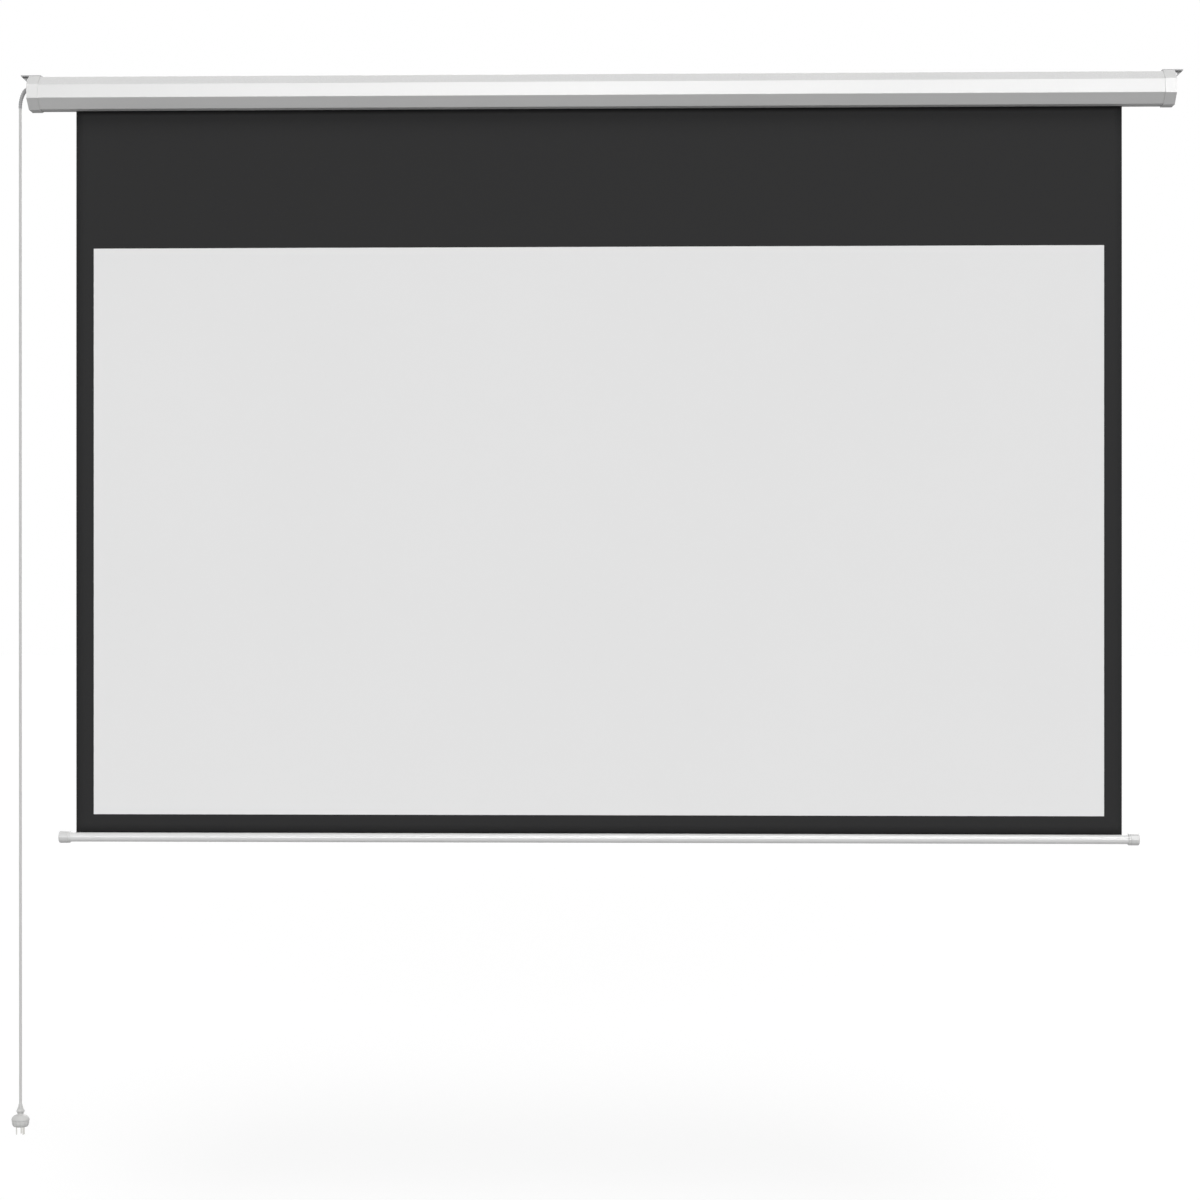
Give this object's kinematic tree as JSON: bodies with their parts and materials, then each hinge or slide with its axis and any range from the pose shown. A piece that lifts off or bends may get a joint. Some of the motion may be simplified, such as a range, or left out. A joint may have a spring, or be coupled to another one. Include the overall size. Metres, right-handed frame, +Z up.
{
  "type": "motorized projection screen",
  "caption": "Ceiling-hung motorized projection screen: octagonal case with a tubular motor and roller, lowering screen cloth with a bottom bar, and a mains cord.",
  "frame": {"origin": "on the ceiling plane, midway between the two hanging ears, above the middle of the case", "axes": "+X to the viewer's right along the case, +Y to the wall behind, +Z up; the picture faces -Y"},
  "size_m": [2.5657, 0.0746, 2.331],
  "materials": {
    "white_paint": "white powder coat, satin",
    "white_plastic": "white moulded plastic, satin",
    "ear_steel": "dark grey painted steel",
    "zinc_steel": "zinc plated",
    "black_plastic": "black moulded plastic",
    "motor_steel": "drawn steel tube",
    "core_steel": "plain steel",
    "capacitor_plastic": "off-white plastic can",
    "grey_plastic": "grey nylon",
    "circuit_board": "green circuit board",
    "cord_plastic": "light grey cord sheath and plug",
    "relief_rubber": "grey flexible sleeve",
    "brass": "plain brass",
    "roller_aluminium": "drawn tube",
    "screen_cloth": "matt white projection cloth with a black border and back",
    "bar_paint": "white painted aluminium tube"
  },
  "bodies": {
    "case": {"case_shell": "white_paint", "end_cap_left": "white_plastic", "end_cap_right": "white_plastic", "end_plate_left": "zinc_steel", "end_plate_right": "zinc_steel", "mounting_ear_left": "ear_steel", "mounting_ear_right": "ear_steel", "ear_screw_left_front": "zinc_steel", "ear_screw_left_rear": "zinc_steel", "cap_screw_left_upper": "zinc_steel", "cap_screw_left_lower": "zinc_steel", "ear_screw_right_front": "zinc_steel", "ear_screw_right_rear": "zinc_steel", "cap_screw_right_upper": "zinc_steel", "cap_screw_right_lower": "zinc_steel", "motor_head": "black_plastic", "motor_head_screw_upper": "zinc_steel", "motor_head_screw_lower": "zinc_steel", "motor_housing": "motor_steel", "limit_switch_unit": "black_plastic", "run_capacitor": "capacitor_plastic", "motor_canister": "core_steel", "brake_unit": "core_steel", "gearbox_canister": "core_steel", "output_bush": "brass", "idler_pin": "zinc_steel", "idler_circlip": "zinc_steel", "receiver_base": "black_plastic", "receiver_lid": "black_plastic", "receiver_board": "circuit_board", "motor_lead": "black_plastic", "mains_inner_lead": "cord_plastic", "cord_strain_relief": "relief_rubber", "power_cord": "cord_plastic", "plug_body": "cord_plastic", "plug_pin_live": "brass", "plug_pin_neutral": "brass", "plug_pin_earth": "brass"},
    "roller": {"roller_tube": "roller_aluminium", "crown_ring": "grey_plastic", "drive_wheel": "grey_plastic", "drive_wheel_pin": "zinc_steel", "output_shaft": "zinc_steel", "idler_plug": "grey_plastic", "fabric_roll": "screen_cloth"},
    "fabric_and_bar": {"screen_fabric": "screen_cloth", "bottom_bar": "bar_paint", "bar_cap_left": "white_plastic", "bar_cap_right": "white_plastic", "hem_rod": "zinc_steel"},
    "upper_limit_screw": {"limit_screw_up": "brass"},
    "lower_limit_screw": {"limit_screw_down": "brass"}
  },
  "joints": [
    {"name": "screen_travel", "type": "slide", "parent": "case", "child": "fabric_and_bar", "axis": [0, 0, 1], "range_m": [0, 1.58], "deforming": ["screen_fabric"]},
    {"name": "roller_spin", "type": "hinge", "parent": "case", "child": "roller", "pos_m": [0, -0.0095, -0.0401], "axis": [1, 0, 0], "range_deg": [0, 4105]},
    {"name": "limit_up_turn", "type": "hinge", "parent": "case", "child": "upper_limit_screw", "pos_m": [-1.2212, 0.0089, -0.0651], "axis": [0, 0, -1], "continuous": true},
    {"name": "limit_down_turn", "type": "hinge", "parent": "case", "child": "lower_limit_screw", "pos_m": [-1.2052, 0.0089, -0.0651], "axis": [0, 0, -1], "continuous": true}
  ],
  "couplings": [
    {"joint": "roller_spin", "follows": "screen_travel", "rad_per_m": 45.3}
  ]
}
